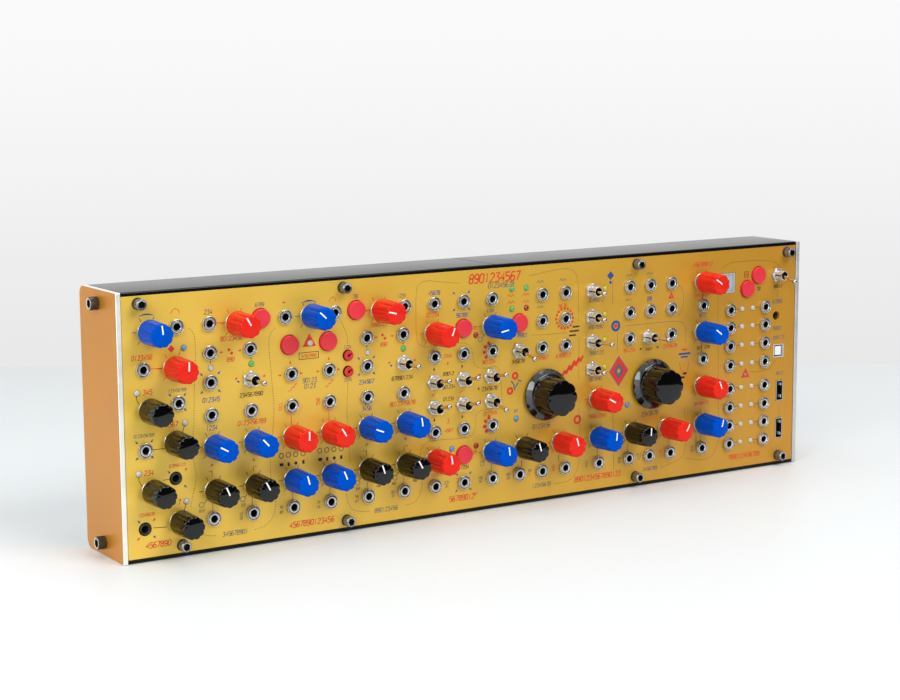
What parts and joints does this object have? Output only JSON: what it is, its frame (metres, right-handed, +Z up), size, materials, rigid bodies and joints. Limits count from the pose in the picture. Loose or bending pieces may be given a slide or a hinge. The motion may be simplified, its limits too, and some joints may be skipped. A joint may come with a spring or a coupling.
{
  "type": "modular synthesizer",
  "caption": "Slim desktop modular synthesizer: gold control panel of knobs, toggles, push buttons and patch jacks in a black case between orange end cheeks.",
  "frame": {"origin": "centre of the case's bottom face, on the surface that it stands on", "axes": "+X along the panel to the player's right, +Y into the case and away from the player, +Z up"},
  "size_m": [0.4414, 0.0649, 0.1325],
  "materials": {
    "shell_black": "satin black powder coat, fine texture",
    "cheek_orange": "orange-gold anodised outer face, bare bright edges",
    "panel_gold": "gold satin with printed scales and lines",
    "fittings": "bright nickel-plated nuts and bushes on a dark circuit board",
    "knob_blue": "glossy moulded plastic, white pointer line",
    "knob_red": "glossy moulded plastic, white pointer line",
    "knob_black": "glossy moulded plastic",
    "lever_metal": "bright plated lever with a ball tip",
    "button_red": "satin moulded plastic"
  },
  "bodies": {
    "chassis": {"case_shell": "shell_black", "left_cheek": "cheek_orange", "right_cheek": "cheek_orange", "front_panel": "panel_gold", "circuit_board": "fittings"},
    "mixer_knob_1": {"mixer_knob_1": "knob_blue"},
    "mixer_knob_2": {"mixer_knob_2": "knob_red"},
    "mixer_knob_3": {"mixer_knob_3": "knob_black"},
    "mixer_knob_4": {"mixer_knob_4": "knob_black"},
    "mixer_knob_5": {"mixer_knob_5": "knob_black"},
    "mixer_knob_6": {"mixer_knob_6": "knob_black"},
    "voice_a_knob_1": {"voice_a_knob_1": "knob_red"},
    "voice_a_knob_2": {"voice_a_knob_2": "knob_blue"},
    "voice_a_knob_3": {"voice_a_knob_3": "knob_blue"},
    "voice_a_knob_4": {"voice_a_knob_4": "knob_black"},
    "voice_a_knob_5": {"voice_a_knob_5": "knob_black"},
    "delay_knob_1": {"delay_knob_1": "knob_blue"},
    "delay_knob_2": {"delay_knob_2": "knob_red"},
    "delay_knob_3": {"delay_knob_3": "knob_red"},
    "delay_knob_4": {"delay_knob_4": "knob_blue"},
    "delay_knob_5": {"delay_knob_5": "knob_blue"},
    "voice_b_knob_1": {"voice_b_knob_1": "knob_red"},
    "voice_b_knob_2": {"voice_b_knob_2": "knob_blue"},
    "voice_b_knob_3": {"voice_b_knob_3": "knob_blue"},
    "voice_b_knob_4": {"voice_b_knob_4": "knob_black"},
    "voice_b_knob_5": {"voice_b_knob_5": "knob_black"},
    "gate_knob_1": {"gate_knob_1": "knob_red"},
    "gate_knob_2": {"gate_knob_2": "knob_red"},
    "modulator_knob_1": {"modulator_knob_1": "knob_blue"},
    "modulator_knob_2": {"modulator_knob_2": "knob_blue"},
    "modulator_knob_3": {"modulator_knob_3": "knob_black"},
    "modulator_knob_4": {"modulator_knob_4": "knob_red"},
    "carrier_knob_1": {"carrier_knob_1": "knob_red"},
    "carrier_knob_2": {"carrier_knob_2": "knob_blue"},
    "carrier_knob_3": {"carrier_knob_3": "knob_black"},
    "carrier_knob_4": {"carrier_knob_4": "knob_red"},
    "control_knob_1": {"control_knob_1": "knob_red"},
    "control_knob_2": {"control_knob_2": "knob_blue"},
    "control_knob_3": {"control_knob_3": "knob_red"},
    "control_knob_4": {"control_knob_4": "knob_blue"},
    "modulator_tuning_knob": {"modulator_tuning_knob": "knob_black"},
    "carrier_tuning_knob": {"carrier_tuning_knob": "knob_black"},
    "voice_a_toggle": {"voice_a_toggle": "lever_metal"},
    "voice_b_toggle": {"voice_b_toggle": "lever_metal"},
    "gate_toggle_1": {"gate_toggle_1": "lever_metal"},
    "gate_toggle_2": {"gate_toggle_2": "lever_metal"},
    "gate_toggle_3": {"gate_toggle_3": "lever_metal"},
    "gate_toggle_4": {"gate_toggle_4": "lever_metal"},
    "gate_toggle_5": {"gate_toggle_5": "lever_metal"},
    "gate_toggle_6": {"gate_toggle_6": "lever_metal"},
    "modulator_toggle": {"modulator_toggle": "lever_metal"},
    "carrier_toggle_1": {"carrier_toggle_1": "lever_metal"},
    "carrier_toggle_2": {"carrier_toggle_2": "lever_metal"},
    "carrier_toggle_3": {"carrier_toggle_3": "lever_metal"},
    "carrier_toggle_4": {"carrier_toggle_4": "lever_metal"},
    "carrier_toggle_5": {"carrier_toggle_5": "lever_metal"},
    "power_toggle": {"power_toggle": "lever_metal"},
    "delay_button_left": {"delay_button_left": "button_red"},
    "delay_button_right": {"delay_button_right": "button_red"},
    "control_button": {"control_button": "button_red"}
  },
  "joints": [
    {"name": "mixer_knob_1_turn", "type": "hinge", "parent": "chassis", "child": "mixer_knob_1", "pos_m": [-0.20034, -0.022, 0.1129], "axis": [0, 1, 0], "range_deg": [-147, 153]},
    {"name": "mixer_knob_2_turn", "type": "hinge", "parent": "chassis", "child": "mixer_knob_2", "pos_m": [-0.18754, -0.022, 0.09426], "axis": [0, 1, 0], "range_deg": [-155, 145]},
    {"name": "mixer_knob_3_turn", "type": "hinge", "parent": "chassis", "child": "mixer_knob_3", "pos_m": [-0.20098, -0.022, 0.0748], "axis": [0, 1, 0], "range_deg": [-150, 150]},
    {"name": "mixer_knob_4_turn", "type": "hinge", "parent": "chassis", "child": "mixer_knob_4", "pos_m": [-0.18818, -0.022, 0.0577], "axis": [0, 1, 0], "range_deg": [-150, 150]},
    {"name": "mixer_knob_5_turn", "type": "hinge", "parent": "chassis", "child": "mixer_knob_5", "pos_m": [-0.20056, -0.022, 0.03503], "axis": [0, 1, 0], "range_deg": [-150, 150]},
    {"name": "mixer_knob_6_turn", "type": "hinge", "parent": "chassis", "child": "mixer_knob_6", "pos_m": [-0.18639, -0.022, 0.018], "axis": [0, 1, 0], "range_deg": [-150, 150]},
    {"name": "voice_a_knob_1_turn", "type": "hinge", "parent": "chassis", "child": "voice_a_knob_1", "pos_m": [-0.15383, -0.022, 0.11354], "axis": [0, 1, 0], "range_deg": [-123, 177]},
    {"name": "voice_a_knob_2_turn", "type": "hinge", "parent": "chassis", "child": "voice_a_knob_2", "pos_m": [-0.16719, -0.022, 0.05353], "axis": [0, 1, 0], "range_deg": [-90, 210]},
    {"name": "voice_a_knob_3_turn", "type": "hinge", "parent": "chassis", "child": "voice_a_knob_3", "pos_m": [-0.14521, -0.022, 0.05353], "axis": [0, 1, 0], "range_deg": [-109, 191]},
    {"name": "voice_a_knob_4_turn", "type": "hinge", "parent": "chassis", "child": "voice_a_knob_4", "pos_m": [-0.16719, -0.022, 0.03123], "axis": [0, 1, 0], "range_deg": [-129, 171]},
    {"name": "voice_a_knob_5_turn", "type": "hinge", "parent": "chassis", "child": "voice_a_knob_5", "pos_m": [-0.14521, -0.022, 0.03123], "axis": [0, 1, 0], "range_deg": [-125, 175]},
    {"name": "delay_knob_1_turn", "type": "hinge", "parent": "chassis", "child": "delay_knob_1", "pos_m": [-0.11223, -0.022, 0.11405], "axis": [0, 1, 0], "range_deg": [-104, 196]},
    {"name": "delay_knob_2_turn", "type": "hinge", "parent": "chassis", "child": "delay_knob_2", "pos_m": [-0.12332, -0.022, 0.05353], "axis": [0, 1, 0], "range_deg": [-155, 145]},
    {"name": "delay_knob_3_turn", "type": "hinge", "parent": "chassis", "child": "delay_knob_3", "pos_m": [-0.10177, -0.022, 0.05353], "axis": [0, 1, 0], "range_deg": [-120, 180]},
    {"name": "delay_knob_4_turn", "type": "hinge", "parent": "chassis", "child": "delay_knob_4", "pos_m": [-0.12332, -0.022, 0.03123], "axis": [0, 1, 0], "range_deg": [-138, 162]},
    {"name": "delay_knob_5_turn", "type": "hinge", "parent": "chassis", "child": "delay_knob_5", "pos_m": [-0.10177, -0.022, 0.03123], "axis": [0, 1, 0], "range_deg": [-131, 169]},
    {"name": "voice_b_knob_1_turn", "type": "hinge", "parent": "chassis", "child": "voice_b_knob_1", "pos_m": [-0.07148, -0.022, 0.11354], "axis": [0, 1, 0], "range_deg": [-74, 226]},
    {"name": "voice_b_knob_2_turn", "type": "hinge", "parent": "chassis", "child": "voice_b_knob_2", "pos_m": [-0.0798, -0.022, 0.05353], "axis": [0, 1, 0], "range_deg": [-82, 218]},
    {"name": "voice_b_knob_3_turn", "type": "hinge", "parent": "chassis", "child": "voice_b_knob_3", "pos_m": [-0.05709, -0.022, 0.05353], "axis": [0, 1, 0], "range_deg": [-146, 154]},
    {"name": "voice_b_knob_4_turn", "type": "hinge", "parent": "chassis", "child": "voice_b_knob_4", "pos_m": [-0.0798, -0.022, 0.03153], "axis": [0, 1, 0], "range_deg": [-135, 165]},
    {"name": "voice_b_knob_5_turn", "type": "hinge", "parent": "chassis", "child": "voice_b_knob_5", "pos_m": [-0.05709, -0.022, 0.03153], "axis": [0, 1, 0], "range_deg": [-124, 176]},
    {"name": "gate_knob_1_turn", "type": "hinge", "parent": "chassis", "child": "gate_knob_1", "pos_m": [-0.03926, -0.022, 0.09902], "axis": [0, 1, 0], "range_deg": [-177, 123]},
    {"name": "gate_knob_2_turn", "type": "hinge", "parent": "chassis", "child": "gate_knob_2", "pos_m": [-0.03905, -0.022, 0.03153], "axis": [0, 1, 0], "range_deg": [-145, 155]},
    {"name": "modulator_knob_1_turn", "type": "hinge", "parent": "chassis", "child": "modulator_knob_1", "pos_m": [-0.00299, -0.022, 0.09998], "axis": [0, 1, 0], "range_deg": [-48, 252]},
    {"name": "modulator_knob_2_turn", "type": "hinge", "parent": "chassis", "child": "modulator_knob_2", "pos_m": [-0.00299, -0.022, 0.03188], "axis": [0, 1, 0], "range_deg": [-148, 152]},
    {"name": "modulator_knob_3_turn", "type": "hinge", "parent": "chassis", "child": "modulator_knob_3", "pos_m": [0.0175, -0.022, 0.03188], "axis": [0, 1, 0], "range_deg": [-137, 163]},
    {"name": "modulator_knob_4_turn", "type": "hinge", "parent": "chassis", "child": "modulator_knob_4", "pos_m": [0.04224, -0.022, 0.03188], "axis": [0, 1, 0], "range_deg": [-139, 161]},
    {"name": "carrier_knob_1_turn", "type": "hinge", "parent": "chassis", "child": "carrier_knob_1", "pos_m": [0.06764, -0.022, 0.05353], "axis": [0, 1, 0], "range_deg": [-90, 210]},
    {"name": "carrier_knob_2_turn", "type": "hinge", "parent": "chassis", "child": "carrier_knob_2", "pos_m": [0.06764, -0.022, 0.03188], "axis": [0, 1, 0], "range_deg": [-162, 138]},
    {"name": "carrier_knob_3_turn", "type": "hinge", "parent": "chassis", "child": "carrier_knob_3", "pos_m": [0.09174, -0.022, 0.03188], "axis": [0, 1, 0], "range_deg": [-159, 141]},
    {"name": "carrier_knob_4_turn", "type": "hinge", "parent": "chassis", "child": "carrier_knob_4", "pos_m": [0.11692, -0.022, 0.03188], "axis": [0, 1, 0], "range_deg": [-186, 114]},
    {"name": "control_knob_1_turn", "type": "hinge", "parent": "chassis", "child": "control_knob_1", "pos_m": [0.1421, -0.022, 0.11354], "axis": [0, 1, 0], "range_deg": [-97, 203]},
    {"name": "control_knob_2_turn", "type": "hinge", "parent": "chassis", "child": "control_knob_2", "pos_m": [0.14231, -0.022, 0.08495], "axis": [0, 1, 0], "range_deg": [-99, 201]},
    {"name": "control_knob_3_turn", "type": "hinge", "parent": "chassis", "child": "control_knob_3", "pos_m": [0.14274, -0.022, 0.05353], "axis": [0, 1, 0], "range_deg": [-133, 167]},
    {"name": "control_knob_4_turn", "type": "hinge", "parent": "chassis", "child": "control_knob_4", "pos_m": [0.14274, -0.022, 0.03143], "axis": [0, 1, 0], "range_deg": [-172, 128]},
    {"name": "modulator_tuning_knob_turn", "type": "hinge", "parent": "chassis", "child": "modulator_tuning_knob", "pos_m": [0.03286, -0.022, 0.05925], "axis": [0, 1, 0], "range_deg": [-150, 150]},
    {"name": "carrier_tuning_knob_turn", "type": "hinge", "parent": "chassis", "child": "carrier_tuning_knob", "pos_m": [0.10647, -0.022, 0.05803], "axis": [0, 1, 0], "range_deg": [-150, 150]},
    {"name": "voice_a_toggle_tip", "type": "hinge", "parent": "chassis", "child": "voice_a_toggle", "pos_m": [-0.14615, -0.026, 0.08482], "axis": [0, 0, 1], "range_deg": [-13, 13]},
    {"name": "voice_b_toggle_tip", "type": "hinge", "parent": "chassis", "child": "voice_b_toggle", "pos_m": [-0.05761, -0.026, 0.08482], "axis": [0, 0, 1], "range_deg": [-13, 13]},
    {"name": "gate_toggle_1_tip", "type": "hinge", "parent": "chassis", "child": "gate_toggle_1", "pos_m": [-0.03883, -0.026, 0.0728], "axis": [1, 0, 0], "range_deg": [0, 26]},
    {"name": "gate_toggle_2_tip", "type": "hinge", "parent": "chassis", "child": "gate_toggle_2", "pos_m": [-0.02091, -0.026, 0.0728], "axis": [1, 0, 0], "range_deg": [0, 26]},
    {"name": "gate_toggle_3_tip", "type": "hinge", "parent": "chassis", "child": "gate_toggle_3", "pos_m": [-0.0032, -0.026, 0.0728], "axis": [1, 0, 0], "range_deg": [0, 26]},
    {"name": "gate_toggle_4_tip", "type": "hinge", "parent": "chassis", "child": "gate_toggle_4", "pos_m": [-0.03883, -0.026, 0.05931], "axis": [1, 0, 0], "range_deg": [0, 26]},
    {"name": "gate_toggle_5_tip", "type": "hinge", "parent": "chassis", "child": "gate_toggle_5", "pos_m": [-0.02091, -0.026, 0.05931], "axis": [1, 0, 0], "range_deg": [0, 26]},
    {"name": "gate_toggle_6_tip", "type": "hinge", "parent": "chassis", "child": "gate_toggle_6", "pos_m": [-0.0032, -0.026, 0.05931], "axis": [1, 0, 0], "range_deg": [-26, 0]},
    {"name": "modulator_toggle_tip", "type": "hinge", "parent": "chassis", "child": "modulator_toggle", "pos_m": [0.01515, -0.026, 0.08495], "axis": [1, 0, 0], "range_deg": [-26, 0]},
    {"name": "carrier_toggle_1_tip", "type": "hinge", "parent": "chassis", "child": "carrier_toggle_1", "pos_m": [0.06401, -0.026, 0.11392], "axis": [0, 0, 1], "range_deg": [0, 26]},
    {"name": "carrier_toggle_2_tip", "type": "hinge", "parent": "chassis", "child": "carrier_toggle_2", "pos_m": [0.06401, -0.026, 0.09953], "axis": [0, 0, 1], "range_deg": [0, 26]},
    {"name": "carrier_toggle_3_tip", "type": "hinge", "parent": "chassis", "child": "carrier_toggle_3", "pos_m": [0.06401, -0.026, 0.08553], "axis": [0, 0, 1], "range_deg": [-26, 0]},
    {"name": "carrier_toggle_4_tip", "type": "hinge", "parent": "chassis", "child": "carrier_toggle_4", "pos_m": [0.06401, -0.026, 0.07036], "axis": [0, 0, 1], "range_deg": [0, 26]},
    {"name": "carrier_toggle_5_tip", "type": "hinge", "parent": "chassis", "child": "carrier_toggle_5", "pos_m": [0.10327, -0.026, 0.08501], "axis": [0, 0, 1], "range_deg": [-26, 0]},
    {"name": "power_toggle_tip", "type": "hinge", "parent": "chassis", "child": "power_toggle", "pos_m": [0.19906, -0.026, 0.11379], "axis": [1, 0, 0], "range_deg": [-26, 0]},
    {"name": "delay_button_left_press", "type": "slide", "parent": "chassis", "child": "delay_button_left", "axis": [0, 1, 0], "range_m": [0, 0.0005], "stiffness_N_per_m": 200, "springref_m": -0.0005},
    {"name": "delay_button_right_press", "type": "slide", "parent": "chassis", "child": "delay_button_right", "axis": [0, 1, 0], "range_m": [0, 0.0005], "stiffness_N_per_m": 200, "springref_m": -0.0005},
    {"name": "control_button_press", "type": "slide", "parent": "chassis", "child": "control_button", "axis": [0, 1, 0], "range_m": [0, 0.0005], "stiffness_N_per_m": 200, "springref_m": -0.0005}
  ]
}
